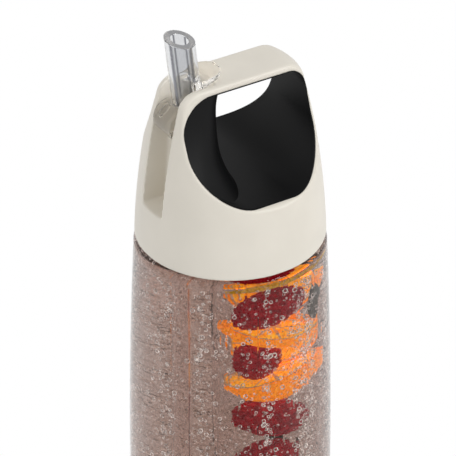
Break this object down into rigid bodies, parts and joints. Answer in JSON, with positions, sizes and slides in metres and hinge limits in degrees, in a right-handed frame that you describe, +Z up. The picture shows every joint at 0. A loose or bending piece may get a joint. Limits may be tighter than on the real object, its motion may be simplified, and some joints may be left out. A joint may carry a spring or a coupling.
{
  "type": "fruit infuser water bottle",
  "caption": "Clear water bottle with a cream screw lid, arched carrying handle with a soft black lining, fold-down straw spout and a slotted infuser basket of cut fruit.",
  "frame": {"origin": "centre of the plane that the bottle stands on", "axes": "+Z up along the bottle, -Y towards the spout, X along the handle's tunnel"},
  "size_m": [0.0832, 0.0832, 0.2588],
  "materials": {
    "clear_bottle": "clear, smooth",
    "clear_basket": "clear, smooth",
    "clear_straw": "clear, smooth",
    "clear_spout": "clear, polished",
    "cream_lid": "fine satin",
    "black_lining": "soft matte",
    "cream_core": "satin",
    "silicone": "matte",
    "lemon": "wet",
    "orange": "wet",
    "berry": "wet",
    "leaf": "wet"
  },
  "bodies": {
    "bottle": {"bottle_body": "clear_bottle"},
    "gasket": {"lid_gasket": "silicone"},
    "lid": {"lid_shell": "cream_lid", "handle_lining": "black_lining", "lid_core": "cream_core", "spout_seal": "silicone", "vent_valve": "silicone", "straw": "clear_straw"},
    "spout": {"spout": "clear_spout"},
    "basket": {"infuser_basket": "clear_basket", "lemon_slice_low": "lemon", "berry_low": "berry", "mint_leaf_low": "leaf", "berry_middle": "berry", "orange_half": "orange", "orange_slice_back": "orange", "berry_upper": "berry", "orange_slice_flat": "orange", "berry_top": "berry", "orange_half_slice": "orange", "lemon_half_slice": "lemon", "mint_leaf_top": "leaf"}
  },
  "joints": [
    {"name": "lid_rise", "type": "slide", "parent": "bottle", "child": "gasket", "axis": [0, 0, 1], "range_m": [0, 0.0069]},
    {"name": "lid_turn", "type": "hinge", "parent": "gasket", "child": "lid", "pos_m": [0, 0, 0.165], "axis": [0, 0, 1], "range_deg": [0, 540]},
    {"name": "spout_flip", "type": "hinge", "parent": "lid", "child": "spout", "pos_m": [0, -0.024, 0.2226], "axis": [1, 0, 0], "range_deg": [0, 169.5]},
    {"name": "basket_pull", "type": "slide", "parent": "lid", "child": "basket", "axis": [0, 0, -1], "range_m": [0, 0.014]}
  ],
  "couplings": [
    {"joint": "lid_rise", "follows": "lid_turn", "m_per_rad": 0.0007162}
  ]
}
